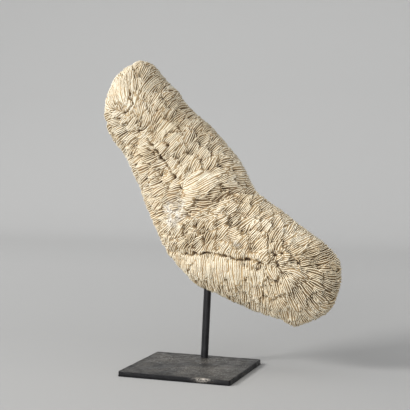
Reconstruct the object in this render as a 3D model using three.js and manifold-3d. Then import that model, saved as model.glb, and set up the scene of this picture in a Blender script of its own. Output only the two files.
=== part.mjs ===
// A tongue coral skeleton on a display stand: one long, bent stony coral, drilled in its lower
// margin and held up by a thin steel rod that stands near the back edge of a flat steel plate.
// Millimetres, +Z up. The origin is the centre of the plate's underside, the plate's long side
// lies along X, and the coral's ribbed upper face looks towards -Y.
import * as THREE from "three";
import { mergeVertices } from "three/addons/utils/BufferGeometryUtils.js";
import Module from "manifold-3d";

// Stand
const PLATE_WIDTH = 120;
const PLATE_DEPTH = 104;
const PLATE_THICKNESS = 5.5;
const PLATE_CORNER = 2;
const PLATE_EDGE = 0.9; // rounding of the plate's top and bottom edges
const ROD_DIAMETER = 8;
const ROD_TOP_CHAMFER = 0.8;
const ROD_SET_BACK = 40; // from the plate's centre towards its back edge
const ROD_LEAN = THREE.MathUtils.degToRad(2.8); // towards +X
const ROD_SOCKET_DEPTH = 32; // how far the rod goes into the coral
const CORAL_UNDERSIDE_AT_ROD = 80; // height at which the rod enters the coral
const SPIGOT_DIAMETER = 5; // the rod's turned-down foot, set in the plate
const SPIGOT_LENGTH = 3.5;
const CLEARANCE = 0.3;
const ROUND_SIDES = 24;

// Coral: x and z of its spine, and its half width there, from the upper tip to the toe
const STATIONS = [
  [-81, 304, 28],
  [-71, 271.5, 44.5],
  [-51, 242, 45.5],
  [-18.5, 202.5, 55.5],
  [8.5, 153, 59.5],
  [38, 128.5, 57.5],
  [71.5, 111.5, 52.5],
  [98, 97.5, 48.5],
  [114, 87.5, 44.5],
];
const SPINE_SET_BACK = 38; // the widest plane, behind the plate's centre
const END_SWEEP = 7; // how far both ends curve back from that plane
const DOME = 38; // rise of the ribbed face in front of the widest plane
const BACK = 22; // depth of the underside behind it
const BACK_HOLLOW = 13; // the underside's dish, taken off its middle
const FULL_HALF_WIDTH = 48; // half width at which the dome has its full rise
const NARROW_POWER = 0.8; // how fast the dome sinks where the coral is narrower
const FRONT_ROUNDNESS = { across: 0.95, depth: 0.95 }; // 1 is an ellipse, less is boxier
const BACK_ROUNDNESS = { across: 0.75, depth: 0.8 };
const TIP = { length: 20, skew: 10, power: 1.66 };
const TOE = { length: 32, skew: 1, power: 1.26 };

// Grooves in the ribbed face, as x and z points
const AXIAL_FURROWS = [
  [[-76, 294], [-71, 278], [-76, 268]],
  [[-50, 239], [-40, 227], [-23, 208], [-19, 199]],
  [[-17, 119], [8, 121], [33, 121], [48, 119], [71, 117]],
];
const FURROW_DEPTH = 2;
const FURROW_HALF_WIDTH = 6;
const GROWTH_CREASE = [[15, 172], [32, 181], [47, 186], [60, 190]];
const CREASE_DEPTH = 4.5;
const CREASE_HALF_WIDTH = 7;
const SWELL = 1.6; // height of the slow swells of both faces
const SWELLS_ALONG = 9;
const SWELLS_ROUND = 3;

// Fineness of the coral's mesh
const RINGS = 44;
const CAP_RINGS = 7;
const RING_POINTS = 44;

const STEEL = new THREE.MeshStandardMaterial({ color: 0x2b2b2d, roughness: 0.55, metalness: 0.6 });
const PATINA = new THREE.MeshStandardMaterial({ color: 0x45433f, roughness: 0.65, metalness: 0.5 });
const ARAGONITE = new THREE.MeshStandardMaterial({ color: 0xe3d7bb, roughness: 0.85, metalness: 0 });

const wasm = await Module();
wasm.setup();

function solidFrom(geometry) {
  const bare = geometry.index ? geometry.toNonIndexed() : geometry.clone();
  bare.deleteAttribute("normal");
  bare.deleteAttribute("uv");
  const merged = mergeVertices(bare, 1e-3);
  return new wasm.Manifold(
    new wasm.Mesh({
      numProp: 3,
      vertProperties: merged.attributes.position.array,
      triVerts: new Uint32Array(merged.index.array),
    }),
  );
}

function geometryFrom(solid) {
  const mesh = solid.getMesh();
  const geometry = new THREE.BufferGeometry();
  geometry.setAttribute("position", new THREE.BufferAttribute(mesh.vertProperties, 3));
  geometry.setIndex(new THREE.BufferAttribute(mesh.triVerts, 1));
  geometry.computeVertexNormals();
  return geometry;
}

function namedMesh(name, geometry, material) {
  const mesh = new THREE.Mesh(geometry, material);
  mesh.name = name;
  return mesh;
}

// A cylinder that stands on the origin, along +Z.
function uprightCylinder(radius, height) {
  const cylinder = new THREE.CylinderGeometry(radius, radius, height, ROUND_SIDES);
  return cylinder.rotateX(Math.PI / 2).translate(0, 0, height / 2);
}

// ---- Stand ----

function plateOutline() {
  const halfWidth = PLATE_WIDTH / 2 - PLATE_EDGE;
  const halfDepth = PLATE_DEPTH / 2 - PLATE_EDGE;
  const straightX = halfWidth - PLATE_CORNER;
  const straightY = halfDepth - PLATE_CORNER;
  const outline = new THREE.Shape();
  outline.moveTo(straightX, -halfDepth);
  outline.absarc(straightX, -straightY, PLATE_CORNER, -Math.PI / 2, 0);
  outline.absarc(straightX, straightY, PLATE_CORNER, 0, Math.PI / 2);
  outline.absarc(-straightX, straightY, PLATE_CORNER, Math.PI / 2, Math.PI);
  outline.absarc(-straightX, -straightY, PLATE_CORNER, Math.PI, 1.5 * Math.PI);
  return outline;
}

function plate() {
  const slab = new THREE.ExtrudeGeometry(plateOutline(), {
    depth: PLATE_THICKNESS - 2 * PLATE_EDGE,
    bevelThickness: PLATE_EDGE,
    bevelSize: PLATE_EDGE,
    bevelSegments: 3,
    curveSegments: 4,
  }).translate(0, 0, PLATE_EDGE);
  const socketDepth = SPIGOT_LENGTH + CLEARANCE;
  const socket = uprightCylinder(SPIGOT_DIAMETER / 2 + CLEARANCE, 2 * socketDepth);
  socket.translate(0, ROD_SET_BACK, PLATE_THICKNESS - socketDepth);
  return geometryFrom(solidFrom(slab).subtract(solidFrom(socket)));
}

// Height of the rod's upper end above the plate, along the rod.
function rodReach() {
  return (CORAL_UNDERSIDE_AT_ROD + ROD_SOCKET_DEPTH - PLATE_THICKNESS) / Math.cos(ROD_LEAN);
}

function rod() {
  const radius = ROD_DIAMETER / 2;
  const foot = SPIGOT_DIAMETER / 2;
  const reach = rodReach();
  const profile = [
    [0, -SPIGOT_LENGTH],
    [foot, -SPIGOT_LENGTH],
    [foot, CLEARANCE],
    [radius, CLEARANCE],
    [radius, reach - ROD_TOP_CHAMFER],
    [radius - ROD_TOP_CHAMFER, reach],
    [0, reach],
  ].map(([r, z]) => new THREE.Vector2(r, z));
  return new THREE.LatheGeometry(profile, ROUND_SIDES).rotateX(Math.PI / 2);
}

// Puts something built along +Z from the origin where the rod stands.
function placeOnRodAxis(object) {
  object.rotateY(ROD_LEAN);
  object.position.set(0, ROD_SET_BACK, PLATE_THICKNESS);
  return object;
}

// ---- Coral ----

const spine = new THREE.CatmullRomCurve3(
  STATIONS.map((station) => new THREE.Vector3(...station)),
  false,
  "catmullrom",
);

// The spine's point, direction, sideways direction and half width at t, in the XZ plane.
function spineAt(t) {
  const { x, y: z, z: halfWidth } = spine.getPoint(t);
  const tangent = spine.getTangent(t);
  const along = new THREE.Vector2(tangent.x, tangent.y).normalize();
  const across = new THREE.Vector2(-along.y, along.x);
  return { x, z, halfWidth, along, across, setBack: SPINE_SET_BACK + END_SWEEP * (2 * t - 1) ** 2 };
}

const QUARTER_TURN = Math.PI / 2;

// The rings of both end caps shrink to a point as phase goes from 0 to a quarter turn.
function capRing(t, end, outwards, phase) {
  const ring = spineAt(t);
  const reach = outwards * end.length * Math.sin(phase);
  const shift = end.skew * Math.sin(phase) ** 2;
  ring.x += ring.along.x * reach + ring.across.x * shift;
  ring.z += ring.along.y * reach + ring.across.y * shift;
  ring.halfWidth *= Math.cos(phase) ** end.power;
  return ring;
}

function rings() {
  const made = [];
  for (let i = CAP_RINGS - 1; i > 0; i -= 1) {
    made.push(capRing(0, TIP, -1, (i / CAP_RINGS) * QUARTER_TURN));
  }
  for (let i = 0; i <= RINGS; i += 1) {
    made.push(spineAt(i / RINGS));
  }
  for (let i = 1; i < CAP_RINGS; i += 1) {
    made.push(capRing(1, TOE, 1, (i / CAP_RINGS) * QUARTER_TURN));
  }
  return made;
}

const signedPower = (value, power) => Math.sign(value) * Math.abs(value) ** power;

// One point of a ring: a rounded dome in front, a flatter and slightly dished back.
function sectionPoint(ring, angle) {
  const c = Math.cos(angle);
  const s = Math.sin(angle);
  const rise = Math.min(1, ring.halfWidth / FULL_HALF_WIDTH) ** NARROW_POWER;
  const roundness = s > 0 ? FRONT_ROUNDNESS : BACK_ROUNDNESS;
  const side = signedPower(c, roundness.across);
  const bulge = Math.abs(s) ** roundness.depth;
  const depth = s > 0 ? -DOME * bulge : BACK * bulge - BACK_HOLLOW * (1 - side * side) ** 2;
  return new THREE.Vector3(
    ring.x + ring.across.x * side * ring.halfWidth,
    ring.setBack + depth * rise,
    ring.z + ring.across.y * side * ring.halfWidth,
  );
}

function distanceToPath(x, z, path) {
  const here = new THREE.Vector3(x, 0, z);
  const nearest = new THREE.Vector3();
  const distances = path.slice(1).map(([bx, bz], i) => {
    const [ax, az] = path[i];
    const segment = new THREE.Line3(new THREE.Vector3(ax, 0, az), new THREE.Vector3(bx, 0, bz));
    return segment.closestPointToPoint(here, true, nearest).distanceTo(here);
  });
  return Math.min(...distances);
}

const groove = (distance, halfWidth, depth) => depth * Math.exp(-((distance / halfWidth) ** 2));

// How far the surface lies under its smooth outer form: slow swells that die out at the margin,
// and the grooves of the ribbed face.
function sunkAt(point, t, angle) {
  const facing = Math.sin(angle);
  const wave = Math.sin(SWELLS_ALONG * Math.PI * t) * Math.cos(SWELLS_ROUND * angle);
  const swell = SWELL * wave * facing;
  if (facing <= 0) return swell;
  const furrows = AXIAL_FURROWS.map((path) =>
    groove(distanceToPath(point.x, point.z, path), FURROW_HALF_WIDTH, FURROW_DEPTH),
  );
  const crease = groove(
    distanceToPath(point.x, point.z, GROWTH_CREASE),
    CREASE_HALF_WIDTH,
    CREASE_DEPTH,
  );
  return swell + (Math.max(...furrows) + crease) * Math.sqrt(facing);
}

// The rings' points one ring after another, then the tip and the toe.
function surfacePoints(all) {
  const points = [];
  all.forEach((ring, i) => {
    const centre = new THREE.Vector3(ring.x, ring.setBack, ring.z);
    for (let j = 0; j < RING_POINTS; j += 1) {
      const angle = (j / RING_POINTS) * 2 * Math.PI;
      const point = sectionPoint(ring, angle);
      const outwards = point.clone().sub(centre);
      const sunk = Math.min(sunkAt(point, i / (all.length - 1), angle), outwards.length() / 2);
      points.push(point.addScaledVector(outwards.normalize(), -sunk));
    }
  });
  const tip = capRing(0, TIP, -1, QUARTER_TURN);
  const toe = capRing(1, TOE, 1, QUARTER_TURN);
  points.push(new THREE.Vector3(tip.x, tip.setBack, tip.z));
  points.push(new THREE.Vector3(toe.x, toe.setBack, toe.z));
  return points;
}

// Bands of triangles between the rings, closed by a fan at the tip and one at the toe.
function surfaceTriangles(ringCount) {
  const triangles = [];
  const lastRing = (ringCount - 1) * RING_POINTS;
  const tip = ringCount * RING_POINTS;
  const toe = tip + 1;
  for (let j = 0; j < RING_POINTS; j += 1) {
    const next = (j + 1) % RING_POINTS;
    triangles.push(tip, next, j);
    triangles.push(toe, lastRing + j, lastRing + next);
    for (let ring = 0; ring < lastRing; ring += RING_POINTS) {
      const below = ring + RING_POINTS;
      triangles.push(ring + j, ring + next, below + j);
      triangles.push(ring + next, below + next, below + j);
    }
  }
  return triangles;
}

function coralForm() {
  const all = rings();
  const geometry = new THREE.BufferGeometry().setFromPoints(surfacePoints(all));
  return geometry.setIndex(surfaceTriangles(all.length));
}

function coral() {
  const entry = (CORAL_UNDERSIDE_AT_ROD - PLATE_THICKNESS) / Math.cos(ROD_LEAN);
  const start = entry / 2; // well below the coral
  const bore = new THREE.Mesh(
    uprightCylinder(ROD_DIAMETER / 2 + CLEARANCE, rodReach() + CLEARANCE - start),
  );
  placeOnRodAxis(bore).translateZ(start).updateMatrix();
  bore.geometry.applyMatrix4(bore.matrix);
  return geometryFrom(solidFrom(coralForm()).subtract(solidFrom(bore.geometry)));
}

const coralOnStand = new THREE.Group();
coralOnStand.add(
  namedMesh("base_plate", plate(), PATINA),
  placeOnRodAxis(namedMesh("rod", rod(), STEEL)),
  namedMesh("coral", coral(), ARAGONITE),
);

export default coralOnStand;
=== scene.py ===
"""The looks of a tongue coral skeleton on a steel display stand. Metres, +Z up."""

import math

import bmesh
import bpy
import numpy as np
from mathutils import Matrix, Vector
from mathutils.bvhtree import BVHTree


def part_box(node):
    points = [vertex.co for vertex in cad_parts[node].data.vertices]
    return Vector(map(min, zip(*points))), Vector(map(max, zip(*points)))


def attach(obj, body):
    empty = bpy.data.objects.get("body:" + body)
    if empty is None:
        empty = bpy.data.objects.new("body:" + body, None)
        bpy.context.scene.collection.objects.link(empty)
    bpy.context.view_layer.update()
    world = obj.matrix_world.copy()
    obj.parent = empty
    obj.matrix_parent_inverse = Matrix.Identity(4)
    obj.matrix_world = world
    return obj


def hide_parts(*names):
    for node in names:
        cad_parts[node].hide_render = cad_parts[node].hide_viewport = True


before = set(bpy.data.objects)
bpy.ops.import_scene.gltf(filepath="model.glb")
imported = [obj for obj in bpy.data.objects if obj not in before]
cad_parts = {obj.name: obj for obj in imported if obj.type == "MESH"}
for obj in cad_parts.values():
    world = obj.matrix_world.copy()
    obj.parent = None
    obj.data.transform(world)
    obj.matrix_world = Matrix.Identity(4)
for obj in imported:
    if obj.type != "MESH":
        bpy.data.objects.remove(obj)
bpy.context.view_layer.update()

MM = 0.001
BODY = "root"
UP_FRONT = np.array([0.0, -1.0, 0.0])  # the way the ribbed face looks

# Smooth noises, each with its wavelength and its seed
WAVE_COUNT = 14  # plane waves in each
DIRECTION_WAVES = (24 * MM, 3)
SWELL_WAVES = (16 * MM, 7)
UNDERSIDE_WAVES = (30 * MM, 8)
LEAN_WAVES = (14 * MM, 9)
SWAY_WAVES = (6 * MM, 10)
GRAIN_WAVES = (3 * MM, 12)
PARTED_WAVES = (13 * MM, 17)
FURROW_WAVES = [(7 * MM, 21), (7 * MM, 22)]
FURROW_FADE_WAVES = (10 * MM, 23)
WORN_WAVES = (5 * MM, 31)
DENT_WAVES = (8 * MM, 41)
WEAR_WAVES = (12 * MM, 42)
RAGGED_WAVES = [(6 * MM, 51), (6 * MM, 52), (6 * MM, 53)]

# Camera: it looks at AIM from this far, this far round from straight ahead, and this far up
AIM = (0.0131, 0.0058, 0.172)
CAMERA_DISTANCE = 1.03
CAMERA_AZIMUTH = 20.02
CAMERA_ELEVATION = 3.42
CAMERA_LENS = 87.8  # mm, on a 36 mm sensor
CAMERA_NEAR = 0.05

# Studio: a floor that curves up into a wall, two soft lights and a bright surrounding
FLOOR_FRONT = -30.0
FLOOR_BACK = 1.2
SWEEP_RADIUS = 1.0
SWEEP_STEPS = 24
STUDIO_HALF_WIDTH = 30.0
WALL_TOP = 6.0
SHADED_TO = 2.5  # along Y: the last of the paper's tones
# The paper's tones are painted light and shade that even out how the lamps light floor, curve and
# wall
PAPER_LIGHT_AND_SHADE = [(0.05, (0.375, 0.376, 0.375)), (0.30, (0.445, 0.447, 0.446)),
               (0.56, (0.475, 0.477, 0.476)), (0.8, (0.42, 0.422, 0.421))]
SKY_TONES = [(0.0, (1, 1, 1)), (1.0, (0.48, 0.48, 0.48))]  # from left to right
SKY_STRENGTH = 1.2
LIGHTS = {
    "key": {"place": (-1.82, -1.45, 1.57), "target": (0, 0, 0.15), "size": 0.8, "power": 54,
            "colour": (1.0, 0.985, 0.96)},
    "fill": {"place": (0.1, -2.4, 0.35), "target": (0, 0, 0.12), "size": 1.4, "power": 38,
             "colour": (1.0, 1.0, 1.0)},
}

# The coral's body under its ribs
FORM_VOXEL = 1.4 * MM
FORM_SMOOTHING = 34
SAME_POINT = 0.001 * MM  # CAD points this close are one
BORE_REACH = 4.6 * MM  # CAD points nearer than this to the rod's axis belong to its bore,
BORE_TOP = 0.114  # if they lie below this height
CREST_DEPTH = -0.7 * MM  # of the highest crests under the form, so they stand out of it
RIB_HEIGHT = 1.3 * MM  # depth of the gaps between the septa, on the face
COSTA_HEIGHT = 1.5 * MM  # and between the costae, on the underside
OPENING = 1.35 * MM  # how much deeper the gaps are in the open zones
BROAD_SWELL = 0.45 * MM  # slow ups and downs of the whole surface
UNDERSIDE_SWELL = 0.7 * MM
BODY_GRAIN = 0.12 * MM
RIB_WIDTH = 1.12 * MM
RIB_ROOT = 0.5 * MM  # how far the ribs reach into the body
RIB_LEAST_HEIGHT = 0.6 * MM
RIB_TEETH = 0.3 * MM  # how ragged the crests are
RIB_STATURE = 0.5 * MM  # how far the lowest ribs stay under the highest
RIB_THICKNESSES = (0.8, 1.2)
RIB_ROUGH_WORN = 2.0  # how much more ragged the crests are on worn patches,
RIB_ROUGH_UNDERSIDE = 0.6  # and on the underside
RIB_INNER_END = (-1.5, 3)  # points from its inner end over which a rib rises,
RIB_OUTER_END = (-1.5, 1)  # from its outer end,
RIB_TAPER = (-2, 2)  # and from either end over which it thickens
RIB_DARK_THINNING = 0.3
RIB_LEAN = 0.28 * MM
RIB_SWAY = 0.10 * MM
WORN_LOSS = 0.8 * MM  # how far worn ribs are ground down
RIB_SPACING = 1.68 * MM
RIB_STEP = 0.8 * MM
RIB_MIN_LENGTH = 3.2 * MM
RIB_MAX_STEPS = 190
CROWDED = 0.62  # a rib ends where it comes within this share of the spacing of another
SEED_ROOM = 0.94  # and starts no nearer than this
FIRST_SEEDS = 400  # places where the first ribs may start
SHARPEST_TURN = 0.6  # a rib ends where its way and the next direction agree less than this
RIB_OVERLAP = 3  # steps that a rib may run on past its own sheaf
RUN_ON = 0.12  # share of sheaves that other sheaves' ribs run on through
FREE = -1  # marks a place of no sheaf

# Stand
ROD_LEAN = math.radians(2.8)
ROD_SET_BACK = 40 * MM
PLATE_TOP = 5.5 * MM
ROD_CLEAR = 6.5 * MM  # ribs keep this far from the rod's axis,
ROD_CLEAR_TOP = 0.1  # below this height
ROD_BLEND = (5 * MM, 9 * MM)  # from the rod's axis: the body rises to the form towards the rod,
ROD_BLEND_TOP = (0.1, 0.12)  # below this height
PLATE_CORNER = 2 * MM
PLATE_CORNER_STEPS = 6
PLATE_EDGE = 0.9 * MM
PLATE_STEP = 1.6 * MM
PLATE_TOP_RINGS = 34
PLATE_EDGE_STEPS = 5
PLATE_INNERMOST = 0.03  # size of the smallest ring, as a share of the plate
PLATE_FOOT = 0.5 * MM  # bevel round the underside
PLATE_RIM = (0.6 * MM, 2.2 * MM)  # from the sides: where the edge gives way to the top
PLATE_RAISED = (0.4 * MM, 1.5 * MM)  # above the underside: where dents and wear begin
PLATE_ON_TOP = 0.2 * MM  # under the top and still part of it
PLATE_DENT = 0.10 * MM
PLATE_DENTED = 1.5  # the dents' noise has to pass minus this
PLATE_WEAR = 0.22 * MM
PLATE_DARKER_SIDES = 0.4  # how dark the top gets towards its sides,
PLATE_DARKER_SIDES_REACH = (2 * MM, 16 * MM)  # from them
PLATE_PALE_TOP = 0.4  # how much paler the edge is where it meets the top
PLATE_CHIP = (31 * MM, -52 * MM, 5 * MM)
PLATE_CHIP_SIZE = (7 * MM, 3 * MM, 2.6 * MM)
PLATE_CHIP_DEPTH = 0.5 * MM  # down into the top
PLATE_CHIP_BITE = 0.7 * MM  # in from the side
PLATE_CHIP_BARE = 1.3

# The septa's direction on the face: places as shares of the coral's box along X and Z, then the
# septa's angle there in degrees, from +X towards +Z.
SEPTA_GUIDES = [
    (0.16, 0.95, 70), (0.22, 0.90, 56), (0.28, 0.85, 48), (0.33, 0.80, 60), (0.12, 0.86, 105),
    (0.05, 0.86, 125), (0.07, 0.76, 24), (0.24, 0.80, 76), (0.19, 0.69, 34), (0.30, 0.72, 52),
    (0.39, 0.72, 55), (0.47, 0.72, 58), (0.35, 0.63, 52), (0.44, 0.63, 57), (0.53, 0.63, 55),
    (0.25, 0.63, 8), (0.25, 0.57, 25), (0.24, 0.50, 28), (0.40, 0.54, 40), (0.50, 0.54, 33),
    (0.60, 0.57, 172), (0.58, 0.53, 10), (0.40, 0.46, 0), (0.46, 0.45, 2), (0.55, 0.45, 33),
    (0.64, 0.46, 45), (0.74, 0.41, 42), (0.29, 0.40, 38), (0.34, 0.36, 45), (0.45, 0.36, 54),
    (0.50, 0.32, 50), (0.60, 0.36, 56), (0.69, 0.37, 38), (0.79, 0.33, 55), (0.87, 0.33, 24),
    (0.42, 0.20, 88), (0.50, 0.19, 94), (0.57, 0.17, 90), (0.66, 0.16, 93), (0.69, 0.10, 99),
    (0.75, 0.14, 97), (0.79, 0.11, 112), (0.88, 0.15, 139), (0.92, 0.28, 26), (0.97, 0.24, 178),
    (0.93, 0.20, 160), (0.97, 0.15, 155), (0.92, 0.09, 130), (0.82, 0.05, 90), (0.85, 0.27, 10),
]
GUIDE_REACH = 15 * MM
GUIDE_FAR = 1e-5  # weight of the guides far away, so that every place has a direction
GUIDE_STRAY = math.radians(5)

# Furrows along the coral's axis, as shares of its box along X and Z
FURROWS = [
    [(0.142, 0.885), (0.163, 0.827), (0.144, 0.793)],
    [(0.241, 0.687), (0.278, 0.646), (0.343, 0.576), (0.361, 0.543)],
    [(0.370, 0.256), (0.464, 0.266), (0.558, 0.265), (0.602, 0.257), (0.702, 0.249)],
]
FURROW_HALF_WIDTH = 1.0 * MM
FURROW_DEPTH = 3.8 * MM
FURROW_CALM = 6 * MM  # the sheaves show less within this distance
FURROW_WANDER = 1.2 * MM
FURROW_SAMPLES = 8  # places on each stretch of a furrow, to find the nearest
FURROW_LEAST = 0.25  # share of its depth that it keeps where it fades,
FURROW_FADE = (-1.3, 0.3)  # between these values of its noise
FURROW_CLEAR = 0.5 * MM  # ribs stop this far from a furrow

# Star-shaped mouths that the septa run out of on all sides, placed in the same way
STARS = [(0.798, 0.280), (0.772, 0.273), (0.781, 0.234), (0.862, 0.245), (0.706, 0.242),
         (0.197, 0.722), (0.388, 0.509), (0.300, 0.557), (0.132, 0.794)]
IN_FRONT = -0.2  # along Y
STAR_REACH = 4.5 * MM
STAR_PULL = 3.0  # how strongly it turns the septa
STAR_HALF_WIDTH = 1.7 * MM
STAR_DEPTH = 3.0 * MM
STAR_CLEAR = 0.6 * MM

# The rest of the face is packed with sheaves of septa, each a low swelling that rises outwards
# from a wedge-shaped pit at its inner end
SHEAF_TRIES = 14000
SHEAF_FACING = -0.25  # sheaves lie where the form looks at least this much towards UP_FRONT
SHEAF_LENGTH = 16 * MM
SHEAF_WIDTH = 8.2 * MM
SHEAF_DOME = 1.4 * MM  # how far its sides drop
SHEAF_TILT = 2.7 * MM  # how much higher its outer end stands
SHEAF_TURN = math.radians(9)  # how far its direction strays
SHEAF_SPREAD = 1.2  # how strongly its septa part in the middle
SHEAF_RAGGED = 1.1 * MM  # how far its outline wanders
SHEAF_END = 0.26  # its ends lie further along than this share of its length
SHEAF_LOOSE = 0.55  # where the sheaves show less than this, ribs run on through them
LIP_ALONG = (0.1, 0.4)  # its outer lip stays high: shares of its length and width there
LIP_ACROSS = (0.15, 0.5)
DOME_FULL = 0.5  # how clear of other sheaves its top is
DOME_SHADE = 0.4  # how shaded its sides and its inner end are
TILT_SHADE = 0.7
SHEAF_WAYS = 1.6  # a sheaf tilts fully where its way agrees with outwards by 1 over this
SHEAF_BOLDNESS = (0.2, 1.5)
SHEAF_BEND = 0.6  # share of its length and width within which its septa part
PIT_LENGTH = 7 * MM
PIT_WIDTH = 1.7 * MM
PIT_DEPTH = 3.2 * MM
PIT_WANDER = 2.5 * MM  # how far a pit lies from its sheaf's midline
PIT_PLACE = 0.45  # how far in its inner end lies, as a share of the sheaf's length
PIT_END = (-1.5 * MM, 0.2 * MM)  # where it starts, along the sheaf
PIT_FADING = 0.6  # under 1, so that deep pits are commoner than shallow ones
PIT_WIDTHS = (0.7, 1.4)
POINTS_AT_ONCE = 4000  # compared with all the sheaves together

# Where the septa stand further apart over deep gaps, and where they lie smooth, as shares of the
# box along X and Z, then a radius
OPEN_ZONES = [(0.94, 0.25, 20 * MM), (0.97, 0.18, 22 * MM), (0.88, 0.14, 16 * MM),
              (0.49, 0.33, 9 * MM), (0.42, 0.31, 12 * MM), (0.26, 0.62, 11 * MM),
              (0.37, 0.78, 12 * MM), (0.44, 0.70, 9 * MM), (0.60, 0.40, 8 * MM),
              (0.24, 0.91, 13 * MM)]
CALM_ZONES = [(0.46, 0.23, 10 * MM), (0.53, 0.21, 17 * MM), (0.61, 0.20, 15 * MM),
              (0.69, 0.18, 10 * MM), (0.43, 0.51, 13 * MM), (0.49, 0.54, 12 * MM),
              (0.36, 0.69, 9 * MM), (0.31, 0.74, 8 * MM), (0.86, 0.33, 8 * MM),
              (0.08, 0.88, 16 * MM), (0.22, 0.91, 12 * MM)]

# Where an upper lobe of growth meets the lower one's raised rim
CREASE = [(0.42, 0.400), (0.47, 0.428), (0.53, 0.465), (0.60, 0.492), (0.68, 0.478)]
CREASE_DEPTH = 3.8 * MM
CREASE_REACH = 8 * MM  # how far above it the upper lobe starts to sink
CREASE_CLEAR = 0.4 * MM
CREASE_STEP = (-0.5 * MM, 0.7 * MM)  # across it, where the lower lobe gives way to the upper
RIM_HEIGHT = 2.2 * MM
RIM_REACH = 6 * MM

# Where the margin stands fuller (or leaner) than the CAD solid: shares of the box along X and Z,
# a radius, and a height
FULLNESS = [(0.00, 0.83, 22 * MM, 2.6 * MM), (0.28, 0.91, 12 * MM, 2.0 * MM),
            (0.42, 0.79, 16 * MM, 2.2 * MM), (0.60, 0.59, 20 * MM, 2.2 * MM),
            (0.76, 0.43, 20 * MM, 1.2 * MM), (0.94, 0.31, 12 * MM, 1.5 * MM),
            (0.42, 0.14, 20 * MM, 2.4 * MM), (0.66, 0.05, 20 * MM, 2.0 * MM),
            (0.81, 0.00, 9 * MM, 2.8 * MM), (0.93, 0.06, 12 * MM, 1.8 * MM),
            (0.18, 0.45, 14 * MM, 1.5 * MM), (0.10, 0.63, 14 * MM, -2.0 * MM)]

# Worn, encrusted patches, as shares of the box along X and Z, then their radius
WORN_PATCHES = [(0.33, 0.43, 9 * MM), (0.37, 0.41, 8 * MM), (0.34, 0.38, 7 * MM),
                (0.38, 0.45, 6 * MM), (0.62, 0.31, 4 * MM)]
WORN_FADE = (-1.3, 0.2)  # values of the noise that frays them

PARTED_SHARE = 0.7  # how far the septa part in patches all over the face,
PARTED_FADE = (0.1, 1.5)  # between these values of their noise
SHADED_GAP = 0.8  # how much of OPENING the shaded sides of the sheaves get
HOLLOW_GAP = 0.4  # how much deeper still the body lies under the hollows

# How much painted shade and dust lie in each kind of place, and what darkens the gaps beside it
# Painted shade in the pits, parted gaps, crease and shaded sides; dust there and all over
PIT_SHADE_AND_DUST = 1.2
PARTED_SHADE_AND_DUST = 0.4
SHADE_ON_SHADED_SIDES = 0.5
CREASE_SHADE_AND_DUST = 0.8
DUST_LIVELY = 0.25
DUST_FACE = 0.2
DUST_UNDERSIDE = 0.3
DARK_SHADE_AND_DUST = 0.8
# Painted shade: the stars and the pits darken further, as deep hollows in shadow
DARK_STAR = 0.9
DARK_PIT = 0.3

ZONE_FADE = (0.5, 1.3)  # shares of a zone's radius over which it fades
FACE_FADE = (-0.35, 0.25)  # facing UP_FRONT: from the underside to the ribbed face
CALM_SHARE = 0.85  # how much of the sheaves a calm zone takes away,
FURROW_CALM_SHARE = 0.8  # and a furrow

CORAL_LOW, CORAL_HIGH = (np.array(corner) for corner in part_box("coral"))
rng = np.random.default_rng(11)


# ---- small helpers

def unit(vectors):
    return vectors / np.maximum(np.linalg.norm(vectors, axis=-1, keepdims=True), 1e-12)


def smoothstep(low, high, values):
    t = np.clip((values - low) / (high - low), 0, 1)
    return t * t * (3 - 2 * t)


def waves(points, wavelength, seed):
    """Smooth noise of about -1 to 1, as a sum of plane waves in random directions."""
    own = np.random.default_rng(seed)
    directions = unit(own.normal(size=(WAVE_COUNT, 3)))
    lengths = wavelength * own.uniform(0.6, 1.6, WAVE_COUNT)
    phases = own.uniform(0, 2 * math.pi, WAVE_COUNT)
    total = np.sin(points @ (directions * (2 * math.pi / lengths[:, None])).T + phases).sum(1)
    return total / math.sqrt(WAVE_COUNT)


def on_face(share_x, share_z):
    """A place in the XZ plane from shares of the coral's box."""
    return (CORAL_LOW + np.array([share_x, 0, share_z]) * (CORAL_HIGH - CORAL_LOW))[[0, 2]]


def distance_to_path(places, path):
    """Distance in the XZ plane from each place to a line through the path's points."""
    nearest = np.full(len(places), np.inf)
    for start, end in zip(path, path[1:]):
        along = end - start
        t = np.clip((places - start) @ along / (along @ along), 0, 1)
        nearest = np.minimum(nearest, np.linalg.norm(places - start - t[:, None] * along, axis=1))
    return nearest


def groove(distance, half_width):
    """1 on a groove's floor, falling to 0 beside it."""
    return np.exp(-((distance / half_width) ** 2))


def distance_to_rod(points):
    foot = np.array([0, ROD_SET_BACK, PLATE_TOP])
    axis = np.array([math.sin(ROD_LEAN), 0, math.cos(ROD_LEAN)])
    return np.linalg.norm(np.cross(points - foot, axis), axis=1)


def coordinates(mesh):
    flat = np.empty(len(mesh.vertices) * 3)
    mesh.vertices.foreach_get("co", flat)
    return flat.reshape(-1, 3)


def add_object(name, mesh):
    obj = bpy.data.objects.new(name, mesh)
    bpy.context.scene.collection.objects.link(obj)
    return obj


def mesh_from(name, vertices, faces):
    mesh = bpy.data.meshes.new(name)
    mesh.from_pydata(vertices.tolist(), [], faces)
    mesh.validate()
    mesh.polygons.foreach_set("use_smooth", [True] * len(mesh.polygons))
    return mesh


def add_attribute(mesh, name, values):
    attribute = mesh.attributes.new(name, "FLOAT", "POINT")
    attribute.data.foreach_set("value", np.asarray(values, np.float32))


# ---- the coral's form and field

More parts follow.
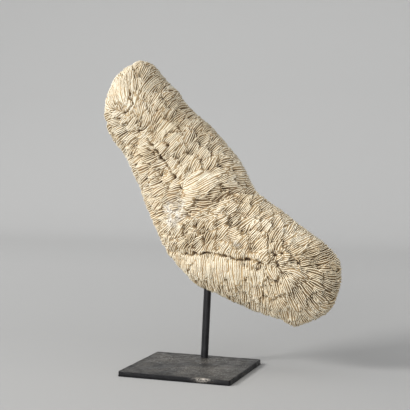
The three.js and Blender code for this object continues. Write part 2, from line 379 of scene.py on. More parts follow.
def coral_form():
    """The coral's smooth outer form, from its CAD node, with the rod's bore closed."""
    bm = bmesh.new()
    bm.from_mesh(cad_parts["coral"].data)
    bmesh.ops.remove_doubles(bm, verts=bm.verts, dist=SAME_POINT)
    points = np.array([v.co for v in bm.verts])
    in_bore = (distance_to_rod(points) < BORE_REACH) & (points[:, 2] < BORE_TOP)
    bmesh.ops.delete(bm, geom=[v for v, bad in zip(bm.verts, in_bore) if bad], context="VERTS")
    bmesh.ops.holes_fill(bm, edges=[e for e in bm.edges if e.is_boundary], sides=0)
    mesh = bpy.data.meshes.new("form")
    bm.to_mesh(mesh)
    bm.free()
    holder = add_object("form_holder", mesh)
    remesh = holder.modifiers.new("even", "REMESH")
    remesh.mode = "VOXEL"
    remesh.voxel_size = FORM_VOXEL
    smooth = holder.modifiers.new("smooth", "SMOOTH")
    smooth.factor = 0.5
    smooth.iterations = FORM_SMOOTHING
    triangulate = holder.modifiers.new("triangles", "TRIANGULATE")
    triangulate.quad_method = "FIXED"
    graph = bpy.context.evaluated_depsgraph_get()
    form = bpy.data.meshes.new_from_object(holder.evaluated_get(graph))
    bpy.data.objects.remove(holder)
    return form


def point_normals(points, triangles):
    corners = points[triangles]
    face_normals = np.cross(corners[:, 1] - corners[:, 0], corners[:, 2] - corners[:, 0])
    normals = np.zeros_like(points)
    for corner in range(3):
        np.add.at(normals, triangles[:, corner], face_normals)
    return unit(normals)


def filled_out(points, triangles):
    """The form's points moved out along its normals by FULLNESS."""
    amount = np.zeros(len(points))
    for share_x, share_z, radius, height in FULLNESS:
        distance = np.linalg.norm(points[:, [0, 2]] - on_face(share_x, share_z), axis=1)
        amount += height * np.exp(-((distance / radius) ** 2))
    return points + amount[:, None] * point_normals(points, triangles)


class Surface:
    """The form's points, faces, normals and the septa's direction on each face."""

    def __init__(self, mesh):
        self.triangles = np.array([p.vertices[:] for p in mesh.polygons])
        self.points = filled_out(coordinates(mesh), self.triangles)
        self.normals = point_normals(self.points, self.triangles)
        self.centres = self.points[self.triangles].mean(1)
        self.face_normals = unit(self.normals[self.triangles].sum(1))
        self.tree = BVHTree.FromPolygons(self.points.tolist(), self.triangles.tolist())
        self.furrows = [np.array([on_face(*p) for p in path]) for path in FURROWS]
        self.crease = np.array([on_face(*p) for p in CREASE])
        self.stars = self.place_stars()
        self.directions = guided_directions(self.centres, self.face_normals)
        self.sheaves = place_sheaves(self)
        self.directions = sheaf_directions(self)
        for star in self.stars:
            self.directions = turned_radially(self, star)

    def place_stars(self):
        """The stars' places on the form, seen from in front of it."""
        found = []
        for star in STARS:
            x, z = on_face(*star)
            hit = self.tree.ray_cast(Vector((x, IN_FRONT, z)), Vector((0, 1, 0)))[0]
            found.append(np.array(hit))
        return found

    def furrow_distance(self, points):
        """Distance in the plane of the face to the nearest furrow, which wanders a little."""
        sway = [FURROW_WANDER * waves(points, *pattern) for pattern in FURROW_WAVES]
        places = points[:, [0, 2]] + np.stack(sway, 1)
        return np.min([distance_to_path(places, path) for path in self.furrows], axis=0)


def guided_directions(points, normals):
    """The septa's direction at each point, blended from the guides."""
    guides = np.array([[*on_face(u, w), math.radians(angle)] for u, w, angle in SEPTA_GUIDES])
    gaps = np.linalg.norm(points[:, None, [0, 2]] - guides[None, :, :2], axis=2) / GUIDE_REACH
    weights = np.exp(-(gaps ** 2)) + GUIDE_FAR / (1 + gaps ** 4)
    doubled_x = weights @ np.cos(2 * guides[:, 2])
    doubled_z = weights @ np.sin(2 * guides[:, 2])
    angle = 0.5 * np.arctan2(doubled_z, doubled_x)
    angle += GUIDE_STRAY * waves(points, *DIRECTION_WAVES)
    axis = np.stack([-np.sin(angle), np.zeros_like(angle), np.cos(angle)], 1)
    return unit(np.cross(normals, axis))


def turned(directions, normals, angle):
    sideways = np.cross(normals, directions)
    return np.cos(angle)[:, None] * directions + np.sin(angle)[:, None] * sideways


def turned_radially(surface, centre):
    """The septa's directions, turned to point away from centre near it."""
    directions, normals = surface.directions, surface.face_normals
    radial = surface.centres - centre
    distance = np.linalg.norm(radial, axis=1)
    radial -= (radial * normals).sum(1, keepdims=True) * normals
    sideways = np.cross(normals, directions)
    angle = np.arctan2((radial * sideways).sum(1), (radial * directions).sum(1))
    pull = STAR_PULL * np.exp(-((distance / STAR_REACH) ** 2))
    turn = 0.5 * np.arctan2(pull * np.sin(2 * angle), 1 + pull * np.cos(2 * angle))
    return turned(directions, normals, turn)


def place_sheaves(surface):
    """Sheaves scattered over the face: their places, directions, pits and strengths."""
    facing = surface.face_normals @ UP_FRONT
    candidates = rng.permutation(np.flatnonzero(facing > SHEAF_FACING))[:SHEAF_TRIES]
    chosen = []
    for face in candidates:
        point, direction = surface.centres[face], surface.directions[face]
        if chosen:
            gaps = surface.centres[chosen] - point
            along = gaps @ direction
            across = np.sqrt(np.maximum((gaps ** 2).sum(1) - along ** 2, 0))
            if np.min((along / SHEAF_LENGTH) ** 2 + (across / SHEAF_WIDTH) ** 2) < 1:
                continue
        chosen.append(face)
    centres, normals = surface.centres[chosen], surface.face_normals[chosen]
    directions = surface.directions[chosen]
    outwards = centres - nearest_furrow_points(surface, centres)
    agreement = (unit(outwards) * directions).sum(1)
    flip = np.where(agreement < 0, -1.0, 1.0)
    directions = directions * flip[:, None]
    return {
        "centre": centres,
        "along": directions,
        "across": np.cross(normals, directions),
        "turn": rng.normal(0, SHEAF_TURN, len(chosen)),
        "pit": rng.uniform(0.0, 1.0, len(chosen)) ** PIT_FADING,
        "tilt": np.minimum(SHEAF_WAYS * np.abs(agreement), 1),
        "bold": rng.uniform(*SHEAF_BOLDNESS, len(chosen)),
        "pit_side": rng.uniform(-PIT_WANDER, PIT_WANDER, len(chosen)),
        "pit_width": PIT_WIDTH * rng.uniform(*PIT_WIDTHS, len(chosen)),
    }


def sheaf_places(surface, points, ragged=SHEAF_RAGGED):
    """Each point's nearest sheaf, its place along and across it, and how clear it is of others."""
    sheaves = surface.sheaves
    strayed = points + ragged * np.stack([waves(points, *pattern) for pattern in RAGGED_WAVES], 1)
    nearest = np.empty(len(points), int)
    clear = np.empty(len(points))
    for start in range(0, len(points), POINTS_AT_ONCE):
        part = slice(start, start + POINTS_AT_ONCE)
        gaps = strayed[part, None] - sheaves["centre"][None]
        along = np.einsum("ijk,jk->ij", gaps, sheaves["along"]) / SHEAF_LENGTH
        off = np.maximum((gaps ** 2).sum(2) - (along * SHEAF_LENGTH) ** 2, 0) / SHEAF_WIDTH ** 2
        distance = np.sqrt(along ** 2 + off)
        two = np.partition(distance, 1, axis=1)[:, :2]
        nearest[part] = distance.argmin(1)
        clear[part] = two[:, 1] - two[:, 0]
    gap = points - sheaves["centre"][nearest]
    along = (gap * sheaves["along"][nearest]).sum(1)
    across = (gap * sheaves["across"][nearest]).sum(1)
    return nearest, along, across, clear


def sheaf_directions(surface):
    """The septa of a sheaf share its turn, part towards its middle and close in again."""
    nearest, along, across, _ = sheaf_places(surface, surface.centres, ragged=0)
    same_way = np.sign((surface.directions * surface.sheaves["along"][nearest]).sum(1))
    aligned = surface.directions * same_way[:, None]
    share_along = np.clip(along / SHEAF_LENGTH, -SHEAF_BEND, SHEAF_BEND)
    share_across = np.clip(across / SHEAF_WIDTH, -SHEAF_BEND, SHEAF_BEND)
    turn = surface.sheaves["turn"][nearest] - SHEAF_SPREAD * share_along * share_across
    amount = liveliness(surface, surface.centres, surface.face_normals)
    return turned(aligned, surface.face_normals, turn * amount)


def zone(points, zones):
    """1 inside the listed round places of the face, falling to 0 outside them."""
    inner, outer = ZONE_FADE
    amount = np.zeros(len(points))
    for share_x, share_z, radius in zones:
        distance = np.linalg.norm(points[:, [0, 2]] - on_face(share_x, share_z), axis=1)
        amount = np.maximum(amount, 1 - smoothstep(inner * radius, outer * radius, distance))
    return amount


def face_share(normals):
    """1 on the ribbed face, 0 on the underside."""
    return smoothstep(*FACE_FADE, normals @ UP_FRONT)


def liveliness(surface, points, normals):
    """How strongly the sheaves show."""
    calm = zone(points, CALM_ZONES)
    beside_furrow = FURROW_CALM_SHARE * groove(surface.furrow_distance(points), FURROW_CALM)
    return face_share(normals) * (1 - CALM_SHARE * calm) * (1 - beside_furrow)


def nearest_furrow_points(surface, points):
    """The nearest point of any furrow to each point, in the plane of the face."""
    along_paths = []
    for path in surface.furrows:
        for start, end in zip(path, path[1:]):
            shares = np.linspace(0, 1, FURROW_SAMPLES)
            along_paths += [start + share * (end - start) for share in shares]
    along_paths = np.array(along_paths)
    gaps = np.linalg.norm(points[:, None, [0, 2]] - along_paths[None], axis=2)
    nearest = along_paths[gaps.argmin(1)]
    return np.stack([nearest[:, 0], points[:, 1], nearest[:, 1]], 1)


# ---- the relief over the form

def sheaf_relief(surface, points, lively):
    """How far the sheaves and the pits between them sink each point, and how shaded it is."""
    nearest, along, across, clear = sheaf_places(surface, points)
    share_along = np.clip(along / SHEAF_LENGTH, -0.5, 0.5)
    share_across = np.abs(across) / SHEAF_WIDTH
    lip = smoothstep(*LIP_ALONG, share_along) * (1 - smoothstep(*LIP_ACROSS, share_across))
    dome = np.maximum(smoothstep(0, DOME_FULL, clear), lip)
    from_pit = along + PIT_PLACE * SHEAF_LENGTH
    pit = np.exp(-np.maximum(from_pit, 0) / PIT_LENGTH) * smoothstep(*PIT_END, from_pit)
    off_pit = (across - surface.sheaves["pit_side"][nearest]) / surface.sheaves["pit_width"][nearest]
    pit *= surface.sheaves["pit"][nearest] * np.exp(-(off_pit ** 2)) * lively
    bold = surface.sheaves["bold"][nearest]
    share_along *= surface.sheaves["tilt"][nearest]
    swell = lively * (SHEAF_DOME * bold * (1 - dome) - SHEAF_TILT * share_along)
    shaded = lively * np.clip(DOME_SHADE * bold * (1 - dome) - TILT_SHADE * share_along, 0, 1)
    return swell, pit, shaded


def star_relief(surface, points):
    """1 in the middle of each star, falling to 0 round it."""
    star = np.zeros(len(points))
    for centre in surface.stars:
        distance = np.linalg.norm(points - centre, axis=1)
        star = np.maximum(star, groove(distance, STAR_HALF_WIDTH))
    return star


def furrow_relief(surface, points):
    """1 on the furrows' floors where they are deep, less where they fade, 0 beside them."""
    furrow = groove(surface.furrow_distance(points), FURROW_HALF_WIDTH)
    fade = smoothstep(*FURROW_FADE, waves(points, *FURROW_FADE_WAVES))
    return furrow * (FURROW_LEAST + (1 - FURROW_LEAST) * fade)


def crease_relief(surface, points):
    """How far the upper lobe sinks towards the crease, and the lower one's rim rises, 0 to 1."""
    places = points[:, [0, 2]]
    to_crease = distance_to_path(places, surface.crease)
    over = places[:, 1] - np.interp(places[:, 0], *surface.crease.T)
    above = smoothstep(*CREASE_STEP, over)
    return np.exp(-to_crease / CREASE_REACH) * above, groove(to_crease, RIM_REACH) * (1 - above)


def relief(surface, points, normals):
    """Per point: the depths of the crests and of the body, how dark it is and how worn."""
    face = face_share(normals)
    lively = liveliness(surface, points, normals)
    swell, pit, shaded = sheaf_relief(surface, points, lively)
    star = star_relief(surface, points)
    furrow = furrow_relief(surface, points) * face
    sunk, raised = crease_relief(surface, points)
    crease, rim = sunk * face, raised * face
    opened = zone(points, OPEN_ZONES) * face
    strewn = smoothstep(*PARTED_FADE, waves(points, *PARTED_WAVES))
    parted = PARTED_SHARE * face * strewn + opened
    hollows = PIT_DEPTH * pit + STAR_DEPTH * star * face + FURROW_DEPTH * furrow
    crest = CREST_DEPTH + BROAD_SWELL * (1 + waves(points, *SWELL_WAVES)) + swell + hollows
    crest += UNDERSIDE_SWELL * (1 - face) * (1 + waves(points, *UNDERSIDE_WAVES))
    crest += CREASE_DEPTH * crease - RIM_HEIGHT * rim
    crest = np.maximum(crest, CREST_DEPTH - RIM_HEIGHT * rim) * near_rod(points)
    gap = COSTA_HEIGHT + (RIB_HEIGHT - COSTA_HEIGHT) * face + OPENING * (parted + SHADED_GAP * shaded)
    body = crest + gap * near_rod(points) + HOLLOW_GAP * hollows
    # Painted shade, mixed with dust: pits, parted gaps, shaded sides and crease darken the colour
    shade_and_dust = (PIT_SHADE_AND_DUST * pit + PARTED_SHADE_AND_DUST * parted + SHADE_ON_SHADED_SIDES * shaded
             + CREASE_SHADE_AND_DUST * crease ** 2 + DUST_LIVELY * lively
             + DUST_FACE * face + DUST_UNDERSIDE * (1 - face))
    # Painted shade: stars, furrows and pits are darkened further, as if in shadow
    dark = DARK_SHADE_AND_DUST * np.clip(shade_and_dust, 0, 1) + DARK_STAR * star * face + furrow + DARK_PIT * pit
    return {
        "crest": crest,
        "body": body,
        "dark": np.clip(dark, 0, 1),
        "worn": worn(points) * face,
    }


def worn(points):
    """How worn and encrusted each place is, in ragged patches."""
    ragged = smoothstep(*WORN_FADE, waves(points, *WORN_WAVES))
    return zone(points, WORN_PATCHES) * ragged


def near_rod(points):
    """0 where the rod goes in, so that the body meets it at the form, and 1 elsewhere."""
    away = smoothstep(*ROD_BLEND, distance_to_rod(points))
    above = smoothstep(*ROD_BLEND_TOP, points[:, 2])
    return np.clip(away + above, 0, 1)


# ---- tracing the ribs

class Crowd:
    """The points of the ribs so far, in a grid, to tell what is too near to them."""

    def __init__(self, cell):
        self.cell = cell
        self.cells = {}

    def key(self, point):
        return tuple(int(math.floor(c / self.cell)) for c in point)

    def add(self, points):
        for point in points:
            self.cells.setdefault(self.key(point), []).append(tuple(point))

    def near(self, point, reach):
        i, j, k = self.key(point)
        x, y, z = point
        limit = reach * reach
        for a in (i - 1, i, i + 1):
            for b in (j - 1, j, j + 1):
                for c in (k - 1, k, k + 1):
                    for px, py, pz in self.cells.get((a, b, c), ()):
                        if (px - x) ** 2 + (py - y) ** 2 + (pz - z) ** 2 < limit:
                            return True
        return False


def barred_faces(surface):
    """Faces where no rib runs: the furrows' and the crease's floors, the stars' and the rod's."""
    on_the_face = surface.face_normals @ UP_FRONT > 0
    barred = surface.furrow_distance(surface.centres) < FURROW_CLEAR
    barred |= distance_to_path(surface.centres[:, [0, 2]], surface.crease) < CREASE_CLEAR
    barred &= on_the_face
    for star in surface.stars:
        barred |= np.linalg.norm(surface.centres - star, axis=1) < STAR_CLEAR
    by_rod = distance_to_rod(surface.centres) < ROD_CLEAR
    by_rod &= surface.centres[:, 2] < ROD_CLEAR_TOP
    return barred | by_rod


def sheaf_homes(surface):
    """The sheaf that each face belongs to, or FREE where the sheaves hardly show."""
    homes = sheaf_places(surface, surface.centres)[0]
    loose = rng.uniform(0, 1, surface.sheaves["centre"].shape[0])[homes] < RUN_ON
    calm = liveliness(surface, surface.centres, surface.face_normals) < SHEAF_LOOSE
    return np.where(calm | loose, FREE, homes)


def at_sheaf_end(surface):
    """Whether each face lies near an end of its sheaf rather than beside its middle."""
    _, along, _, _ = sheaf_places(surface, surface.centres)
    return np.abs(along) > SHEAF_END * SHEAF_LENGTH


def trace_one_way(surface, directions, barred, homes, at_end, crowd, start, home, heading):
    """Points and faces from start, until the rib meets another or has left its own sheaf."""
    points, faces = [], []
    point, way = start, heading
    spare = int(rng.integers(0, RIB_OVERLAP + 1))
    for _ in range(RIB_MAX_STEPS):
        point, _, face, _ = surface.tree.find_nearest(point + way * RIB_STEP)
        if barred[face] or crowd.near(point, CROWDED * RIB_SPACING):
            break
        if homes[face] not in (home, FREE):
            if at_end[face]:
                spare -= 1
            else:
                home = homes[face]
        if spare < 0:
            break
        next_way = directions[face]
        if next_way.dot(way) < 0:
            next_way = -next_way
        if next_way.dot(way) < SHARPEST_TURN:
            break
        way = (next_way + way).normalized()
        points.append(point)
        faces.append(face)
    return points, faces


def trace_ribs(surface):
    """Evenly spaced lines over the whole form, each a list of points and their faces."""
    directions = [Vector(d) for d in surface.directions]
    normals = [Vector(n) for n in surface.face_normals]
    barred = barred_faces(surface).tolist()
    homes = sheaf_homes(surface).tolist()
    at_end = at_sheaf_end(surface).tolist()
    crowd = Crowd(RIB_SPACING)
    first = rng.permutation(len(surface.centres))[:FIRST_SEEDS]
    queue = [Vector(surface.centres[face]) for face in first]
    ribs = []
    waiting = 0
    while waiting < len(queue):
        seed = queue[waiting]
        waiting += 1
        point, _, face, _ = surface.tree.find_nearest(seed)
        if barred[face] or crowd.near(point, SEED_ROOM * RIB_SPACING):
            continue
        way, home = directions[face], homes[face]
        rules = (surface, directions, barred, homes, at_end, crowd, point, home)
        ahead, ahead_faces = trace_one_way(*rules, way)
        behind, behind_faces = trace_one_way(*rules, -way)
        points = behind[::-1] + [point] + ahead
        faces = behind_faces[::-1] + [face] + ahead_faces
        if len(points) * RIB_STEP < RIB_MIN_LENGTH:
            continue
        crowd.add(points)
        ribs.append((points, faces))
        for i in range(0, len(points), 2):
            sideways = normals[faces[i]].cross(directions[faces[i]]) * RIB_SPACING
            queue += [points[i] + sideways, points[i] - sideways]
    return ribs


# ---- building the ribs

PROFILE = [(-0.62, 0.0), (-0.5, 0.72), (0.0, 1.0), (0.5, 0.72), (0.62, 0.0)]  # across, then up


def rib_frames(surface, ribs):
    """All the ribs' points in one list, with their tangents, normals and places on the rib."""
    lines, tangents, own, orders, counts = [], [], [], [], []
    for number, (points, _) in enumerate(ribs):
        line = np.array(points)
        line[1:-1] = (line[:-2] + 2 * line[1:-1] + line[2:]) / 4
        order = np.arange(len(line))
        lines.append(line)
        tangents.append(np.gradient(line, axis=0))
        own.append(np.full(len(line), number))
        orders.append(order)
        counts.append(np.full(len(line), len(line)))
    faces = np.concatenate([on_faces for _, on_faces in ribs])
    line, normals = np.concatenate(lines), surface.face_normals[faces]
    tangents = np.concatenate(tangents)
    outwards = surface.sheaves["along"][sheaf_places(surface, line)[0]]
    order, count = np.concatenate(orders), np.concatenate(counts)
    to_end = count - 1 - order
    forwards = (outwards * tangents).sum(1) > 0
    inner, outer = np.where(forwards, order, to_end), np.where(forwards, to_end, order)
    return line, normals, unit(np.cross(normals, tangents)), np.concatenate(own), inner, outer


def rib_mesh(surface, name, ribs):
    """One closed blade for each traced line, from the body up to the crest."""
    line, normals, sideways, own, inner, outer = rib_frames(surface, ribs)
    shape = relief(surface, line, normals)
    stature = rng.uniform(0, 1, len(ribs))[own]
    thickness = rng.uniform(*RIB_THICKNESSES, len(ribs))[own]
    root = shape["body"] + RIB_ROOT
    rough = 1 + RIB_ROUGH_WORN * shape["worn"] + RIB_ROUGH_UNDERSIDE * (1 - face_share(normals))
    teeth = RIB_TEETH * rng.uniform(-1, 1, len(line)) * rough
    top = shape["crest"] + teeth + RIB_STATURE * stature + WORN_LOSS * shape["worn"]
    height = np.maximum(root - top, RIB_LEAST_HEIGHT)
    height *= smoothstep(*RIB_INNER_END, inner) * smoothstep(*RIB_OUTER_END, outer)
    width = RIB_WIDTH * thickness * smoothstep(*RIB_TAPER, np.minimum(inner, outer))
    width *= 1 - RIB_DARK_THINNING * shape["dark"]
    lean = RIB_LEAN * waves(line, *LEAN_WAVES)
    sway = RIB_SWAY * waves(line, *SWAY_WAVES)
    rows = []
    for across, up in PROFILE:
        shift = (across * width + up * lean + sway)[:, None] * sideways
        rows.append(line + shift + (up * height - root)[:, None] * normals)
    mesh = mesh_from(name, np.concatenate(rows), rib_faces(ribs, len(line)))
    corners = len(PROFILE)
    add_attribute(mesh, "crest", np.repeat([up for _, up in PROFILE], len(line)))
    add_attribute(mesh, "dark", np.tile(shape["dark"], corners))
    add_attribute(mesh, "worn", np.tile(shape["worn"], corners))
    return mesh


def rib_faces(ribs, row):
    """Quads round each rib and a cap at each end; row is the number of points in a row."""
    corners = len(PROFILE)
    faces = []
    first = 0
    for points, _ in ribs:
        last = first + len(points) - 1
        for corner in range(corners):
            here, there = corner * row, (corner + 1) % corners * row
            faces += [(here + i, here + i + 1, there + i + 1, there + i) for i in range(first, last)]
        faces.append([corner * row + first for corner in range(corners)])
        faces.append([corner * row + last for corner in reversed(range(corners))])
        first = last + 1
    return faces


def body_mesh(surface):
    """The skeleton under the ribs: the form, sunk by the ribs' height and by the relief."""
    shape = relief(surface, surface.points, surface.normals)
    grain = BODY_GRAIN * waves(surface.points, *GRAIN_WAVES)
    depth = shape["body"] + grain
    sunk = surface.points - depth[:, None] * surface.normals
    mesh = mesh_from("corallum", sunk, surface.triangles.tolist())
    # The body takes the gap floor's colour, which is partly painted shade
    add_attribute(mesh, "crest", np.zeros(len(sunk)))
    add_attribute(mesh, "dark", shape["dark"])
    add_attribute(mesh, "worn", shape["worn"])
    return mesh


# ---- materials

def new_material(name):
    material = bpy.data.materials.new(name)
    material.use_nodes = True
    tree = material.node_tree
    shader = tree.nodes["Principled BSDF"]
    return material, tree, shader


def node(tree, kind, **settings):
    made = tree.nodes.new(kind)
    for key, value in settings.items():
        setattr(made, key, value)
    return made


def noise(tree, scale, detail=3.0, roughness=0.55):
    coordinates_node = node(tree, "ShaderNodeTexCoord")
    made = node(tree, "ShaderNodeTexNoise")
    made.inputs["Scale"].default_value = scale
    made.inputs["Detail"].default_value = detail
    made.inputs["Roughness"].default_value = roughness
    tree.links.new(coordinates_node.outputs["Object"], made.inputs["Vector"])
    return made.outputs["Fac"]


def along_axis(tree, coordinate, axis):
    """A texture coordinate along one axis."""
    split = node(tree, "ShaderNodeSeparateXYZ")
    tree.links.new(node(tree, "ShaderNodeTexCoord").outputs[coordinate], split.inputs["Vector"])
    return split.outputs[axis]


def mapped(tree, value, low, high):
    """The value, mapped from this range to 0 to 1."""
    made = node(tree, "ShaderNodeMapRange")
    made.inputs["From Min"].default_value = low
    made.inputs["From Max"].default_value = high
    tree.links.new(value, made.inputs["Value"])
    return made.outputs["Result"]


def grey(value):
    return value, value, value


def ramp(tree, value, stops):
    made = node(tree, "ShaderNodeValToRGB")
    elements = made.color_ramp.elements
    while len(elements) < len(stops):
        elements.new(0.5)
    for element, (position, colour) in zip(elements, stops):
        element.position = position
        element.color = (*colour, 1)
    tree.links.new(value, made.inputs["Fac"])
    return made.outputs["Color"]


def mix(tree, factor, first, second, blend="MIX"):
    made = node(tree, "ShaderNodeMix", data_type="RGBA", blend_type=blend)
    for socket, value in (("Factor", factor), ("A", first), ("B", second)):
        target = next(s for s in made.inputs if s.name == socket and s.type in ("RGBA", "VALUE")
                      and (socket == "Factor") == (s.type == "VALUE"))
        if isinstance(value, bpy.types.NodeSocket):
            tree.links.new(value, target)
        else:
            target.default_value = value if socket == "Factor" else (*value, 1)
    return next(s for s in made.outputs if s.type == "RGBA")


def attribute(tree, name):
    return node(tree, "ShaderNodeAttribute", attribute_name=name).outputs["Fac"]


def coral_material():
    material, tree, shader = new_material("aragonite")
    crest = attribute(tree, "crest")
    dark = attribute(tree, "dark")
    # The ribs go from pale crests to dark roots: partly the coral's own cream and tan, partly painted
    # light on the crests and painted shade in the gaps; deep's near-black floor is painted shadow
    pale = ramp(tree, crest, [(0.0, (0.64, 0.49, 0.29)), (0.6, (0.79, 0.70, 0.53)),
                              (0.9, (0.85, 0.825, 0.715)), (1.0, (0.90, 0.89, 0.81))])
    deep = ramp(tree, crest, [(0.0, (0.055, 0.027, 0.009)), (0.6, (0.59, 0.41, 0.20)),
                              (0.9, (0.80, 0.715, 0.53)), (1.0, (0.90, 0.87, 0.76))])
    # dark mixes in the painted shade of the hollows and the shaded sides, with dust
    ribs = mix(tree, dark, pale, deep)
    broad = ramp(tree, noise(tree, scale=34, detail=3),
                 [(0.35, (0.92, 0.88, 0.81)), (0.65, grey(1.0))])
    toned = mix(tree, 1.0, ribs, broad, "MULTIPLY")
    # Painted shade: darker low down, near the plate, and towards the top
    painted_shade_by_height = ramp(tree, along_axis(tree, "Object", "Z"),
                     [(0.09, (0.92, 0.915, 0.90)), (0.14, grey(1)),
                      (0.18, grey(1)), (0.28, grey(0.86))])
    toned = mix(tree, 1.0, toned, painted_shade_by_height, "MULTIPLY")
    stained = ramp(tree, noise(tree, scale=150, detail=5, roughness=0.7),
                   [(0.34, (0.70, 0.52, 0.34)), (0.46, grey(1))])
    toned = mix(tree, 0.5, toned, stained, "MULTIPLY")
    crust = ramp(tree, noise(tree, scale=420, detail=4, roughness=0.7),
                 [(0.42, (0.22, 0.18, 0.14)), (0.50, (0.62, 0.57, 0.48)),
                  (0.62, (0.84, 0.81, 0.74))])
    toned = mix(tree, attribute(tree, "worn"), toned, crust)
    tree.links.new(toned, shader.inputs["Base Color"])
    shader.inputs["Roughness"].default_value = 0.85
    return material


def bump(tree, height, distance, shader):
    made = node(tree, "ShaderNodeBump")
    made.inputs["Distance"].default_value = distance
    tree.links.new(height, made.inputs["Height"])
    tree.links.new(made.outputs["Normal"], shader.inputs["Normal"])


def patina_material():
    """Dark waxed steel: blotches, fine pale specks, black edges and a chipped spot."""
    material, tree, shader = new_material("patina")
    blotches = ramp(tree, noise(tree, scale=45, detail=6, roughness=0.6),
                    [(0.36, grey(0.022)), (0.56, (0.055, 0.052, 0.047)),
                     (0.72, (0.105, 0.098, 0.086))])
    specks = ramp(tree, noise(tree, scale=560, detail=4, roughness=0.8),
                  [(0.53, grey(0)), (0.60, grey(1))])
    strewn = ramp(tree, noise(tree, scale=28, detail=2),
                  [(0.38, grey(0.15)), (0.60, grey(0.9))])
    speckled = mix(tree, mix(tree, 1.0, specks, strewn, "MULTIPLY"), blotches, (0.36, 0.34, 0.31))
    edged = mix(tree, attribute(tree, "edge"), speckled, (0.005, 0.005, 0.006))
    scuffed = ramp(tree, noise(tree, scale=700, detail=4, roughness=0.7),
                   [(0.44, grey(0)), (0.54, grey(1))])
    chipped = mix(tree, attribute(tree, "chip"), (0, 0, 0), scuffed)
    tree.links.new(mix(tree, chipped, edged, (0.36, 0.33, 0.29)), shader.inputs["Base Color"])
    gloss = ramp(tree, noise(tree, scale=130, detail=5, roughness=0.6),
                 [(0.35, grey(0.30)), (0.7, grey(0.60))])
    tree.links.new(gloss, shader.inputs["Roughness"])
    bump(tree, noise(tree, scale=520, detail=5, roughness=0.6), 0.4 * MM, shader)
    shader.inputs["Metallic"].default_value = 0.25
    shader.inputs["Specular IOR Level"].default_value = 0.28
    return material


def black_steel_material():
    material, tree, shader = new_material("black_steel")
    colour = ramp(tree, noise(tree, scale=90, detail=5, roughness=0.6),
                  [(0.35, (0.007, 0.007, 0.008)), (0.7, (0.016, 0.016, 0.018))])
    tree.links.new(colour, shader.inputs["Base Color"])
    gloss = ramp(tree, noise(tree, scale=300, detail=4, roughness=0.6),
                 [(0.35, grey(0.28)), (0.7, grey(0.46))])
    tree.links.new(gloss, shader.inputs["Roughness"])
    bump(tree, noise(tree, scale=700, detail=4, roughness=0.6), 0.2 * MM, shader)
    shader.inputs["Metallic"].default_value = 0.2
    shader.inputs["Specular IOR Level"].default_value = 0.3
    return material


# ---- scene

def add_piece(name, mesh, material, slot, *replaced):
    mesh.materials.append(material)
    piece = add_object(name, mesh)
    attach(piece, BODY)
    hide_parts(*replaced)


def add_camera():
    azimuth, elevation = math.radians(CAMERA_AZIMUTH), math.radians(CAMERA_ELEVATION)
    back = Vector((
        math.sin(azimuth) * math.cos(elevation),
        -math.cos(azimuth) * math.cos(elevation),
        math.sin(elevation),
    ))
    data = bpy.data.cameras.new("camera")
    data.lens = CAMERA_LENS
    data.clip_start = CAMERA_NEAR
    camera = add_object("camera", data)
    camera.location = Vector(AIM) + back * CAMERA_DISTANCE
    camera.rotation_euler = back.to_track_quat("Z", "Y").to_euler()
    bpy.context.scene.camera = camera


def add_area_light(name, place, target, size, power, colour):
    data = bpy.data.lights.new(name, "AREA")
    data.shape = "DISK"
    data.size = size
    data.energy = power
    data.color = colour
    light = add_object(name, data)
    light.location = place
    light.rotation_euler = (Vector(place) - Vector(target)).to_track_quat("Z", "Y").to_euler()


def sweep_mesh():
    outline = [(FLOOR_FRONT, 0.0), (FLOOR_BACK, 0.0)]
    for step in range(1, SWEEP_STEPS + 1):
        angle = step / SWEEP_STEPS * math.pi / 2
        rise = SWEEP_RADIUS * (1 - math.cos(angle))
        outline.append((FLOOR_BACK + SWEEP_RADIUS * math.sin(angle), rise))
    outline.append((FLOOR_BACK + SWEEP_RADIUS, WALL_TOP))
    sides = (-STUDIO_HALF_WIDTH, STUDIO_HALF_WIDTH)
    vertices = [(x, y, z) for y, z in outline for x in sides]
    faces = [(2 * i, 2 * i + 1, 2 * i + 3, 2 * i + 2) for i in range(len(outline) - 1)]
    return mesh_from("studio_sweep", np.array(vertices), faces)


def add_sweep():
    sweep = add_object("studio_sweep", sweep_mesh())
    material, tree, shader = new_material("studio_grey")
    far = mapped(tree, along_axis(tree, "Object", "Y"), 0, SHADED_TO)
    # Painted light and shade along Y, so that the sweep looks evenly lit
    paper = ramp(tree, far, PAPER_LIGHT_AND_SHADE)
    tree.links.new(paper, shader.inputs["Base Color"])
    shader.inputs["Roughness"].default_value = 0.9
    sweep.data.materials.append(material)


def add_surrounding():
    world = bpy.data.worlds.new("studio")
    bpy.context.scene.world = world
    world.use_nodes = True
    tree = world.node_tree
    sky = ramp(tree, mapped(tree, along_axis(tree, "Generated", "X"), -1, 1), SKY_TONES)
    tree.links.new(sky, tree.nodes["Background"].inputs["Color"])
    tree.nodes["Background"].inputs["Strength"].default_value = SKY_STRENGTH


def add_studio():
    add_sweep()
    add_surrounding()
    for name, light in LIGHTS.items():
        add_area_light(name, **light)
    bpy.context.scene.view_settings.view_transform = "Standard"


def add_coral():
    surface = Surface(coral_form())
    material = coral_material()
    add_piece("corallum", body_mesh(surface), material, "aragonite", "coral")
    ribs = trace_ribs(surface)
    ribs.sort(key=lambda rib: rib[0][len(rib[0]) // 2].z)
    total = sum(len(points) for points, _ in ribs)
    names = ("septa_foot", "septa_waist", "septa_neck", "septa_crown")
    parts = [[] for _ in names]
    done = 0
    for rib in ribs:
        parts[len(names) * done // total].append(rib)
        done += len(rib[0])
    for name, part in zip(names, parts):
        add_piece(name, rib_mesh(surface, name, part), material, "aragonite", "coral")


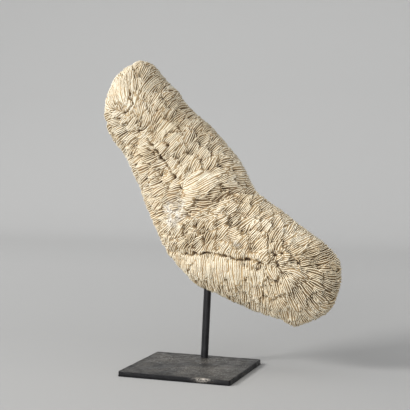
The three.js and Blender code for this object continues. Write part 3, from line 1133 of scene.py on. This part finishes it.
def rounded_rectangle(half_x, half_y, radius):
    """Points round a rectangle with rounded corners, a step apart."""
    places = []
    for turn, (sign_x, sign_y) in enumerate(((1, 1), (-1, 1), (-1, -1), (1, -1))):
        for share in np.linspace(0, 1, PLATE_CORNER_STEPS):
            angle = (turn + share) * math.pi / 2
            places.append((sign_x * (half_x - radius) + radius * math.cos(angle),
                           sign_y * (half_y - radius) + radius * math.sin(angle)))
    outline = []
    for start, end in zip(places, places[1:] + places[:1]):
        gap = np.array(end) - start
        steps = max(1, round(np.linalg.norm(gap) / PLATE_STEP))
        outline += [np.array(start) + gap * i / steps for i in range(steps)]
    return np.array(outline)


def plate_rings(top):
    """Rings from the top's middle, over the rounded edge, down and in to the bottom's middle.

    Each is its size as a share of the plate, its inset and its height.
    """
    shares = np.linspace(PLATE_INNERMOST, 1, PLATE_TOP_RINGS)
    rings = [(share, PLATE_EDGE, top) for share in shares]
    for angle in np.linspace(0, math.pi / 2, PLATE_EDGE_STEPS + 1)[1:]:
        inset = PLATE_EDGE * (1 - math.sin(angle))
        rings.append((1, inset, top - PLATE_EDGE * (1 - math.cos(angle))))
    rings += [(1, 0, top / 2), (1, 0, PLATE_FOOT), (1, PLATE_FOOT, 0)]
    return rings + [(PLATE_INNERMOST, PLATE_FOOT, 0)]


def plate_mesh():
    """The plate with its hammered top, its worn edge and the chip in front."""
    low, high = (np.array(corner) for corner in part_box("base_plate"))
    half, top = (high - low)[:2] / 2, high[2]
    outline = rounded_rectangle(*half, PLATE_CORNER)
    rings = plate_rings(top)
    points = []
    for share, inset, height in rings:
        flat = outline * share * (half - inset) / half
        points.append(np.column_stack([flat, np.full(len(flat), height)]))
    points = np.concatenate(points)
    to_side = np.min(half - np.abs(points[:, :2]), axis=1)
    edge = 1 - smoothstep(*PLATE_RIM, to_side)
    chip = groove(np.linalg.norm((points - PLATE_CHIP) / PLATE_CHIP_SIZE, axis=1), 1)
    raised = smoothstep(*PLATE_RAISED, points[:, 2])
    dents = PLATE_DENT * (1 + waves(points, *DENT_WAVES) / PLATE_DENTED) * (1 - edge)
    points[:, 2] -= np.clip(dents + PLATE_CHIP_DEPTH * chip, 0, None) * raised
    wear = PLATE_WEAR * np.clip(1 + waves(points, *WEAR_WAVES), 0, None) + PLATE_CHIP_BITE * chip
    points[:, :2] *= 1 - (edge * raised * wear)[:, None] / half
    faces = ring_faces(len(rings), len(outline))
    mesh = mesh_from("base_slab", points, faces)
    # The top darkens towards its sides
    darker_to_sides = PLATE_DARKER_SIDES * (1 - smoothstep(*PLATE_DARKER_SIDES_REACH, to_side))
    on_top = points[:, 2] > top - PLATE_ON_TOP
    add_attribute(mesh, "edge", np.maximum(darker_to_sides, edge * (1 - PLATE_PALE_TOP * on_top)))
    add_attribute(mesh, "chip", np.clip(PLATE_CHIP_BARE * chip, 0, 1))
    return mesh


def ring_faces(rings, around):
    """Quads between rings of points, closed at both ends."""
    faces = []
    for ring in range(rings - 1):
        for i in range(around):
            here, there = ring * around + i, ring * around + (i + 1) % around
            faces.append((here, here + around, there + around, there))
    last = (rings - 1) * around
    return faces + [list(range(around)), [last + i for i in reversed(range(around))]]


def add_stand():
    add_piece("base_slab", plate_mesh(), patina_material(), "patinated_steel", "base_plate")
    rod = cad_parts["rod"]
    rod.data.materials.clear()
    rod.data.materials.append(black_steel_material())


add_camera()
add_studio()
add_coral()
add_stand()
